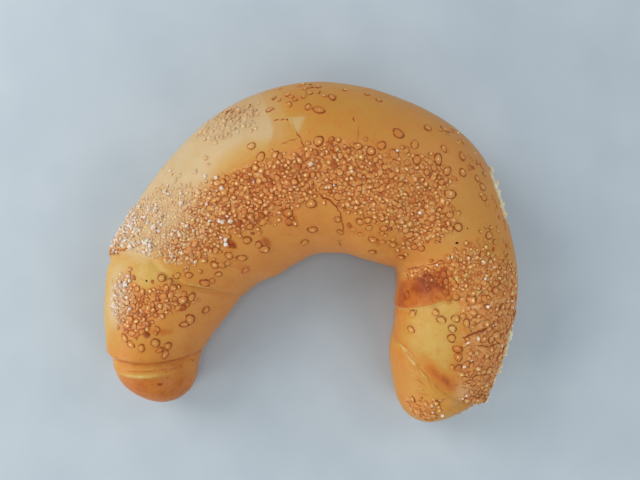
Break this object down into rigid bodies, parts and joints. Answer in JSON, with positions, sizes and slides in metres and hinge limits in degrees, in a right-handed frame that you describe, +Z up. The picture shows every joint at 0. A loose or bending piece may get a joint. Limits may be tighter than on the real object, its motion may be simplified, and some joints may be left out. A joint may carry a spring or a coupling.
{
  "type": "crescent roll",
  "caption": "Salted crescent bread roll: a rolled dough horn bent into an arch, with a flat base, layer lips and a blistered, salted crown.",
  "frame": {"origin": "middle of the base, on the surface that the roll lies on", "axes": "+X towards the right horn, along the crescent's width; +Y towards the crown of the arch; +Z up"},
  "size_m": [0.1504, 0.1228, 0.0485],
  "materials": {
    "crust": "golden brown baked crust, satin egg-wash gloss, paler where less baked",
    "salt": "coarse white salt crystals, slightly clear",
    "crumb": "torn pale crumb, dull and open"
  },
  "bodies": {
    "root": {"crescent_roll": "crust"}
  },
  "joints": []
}
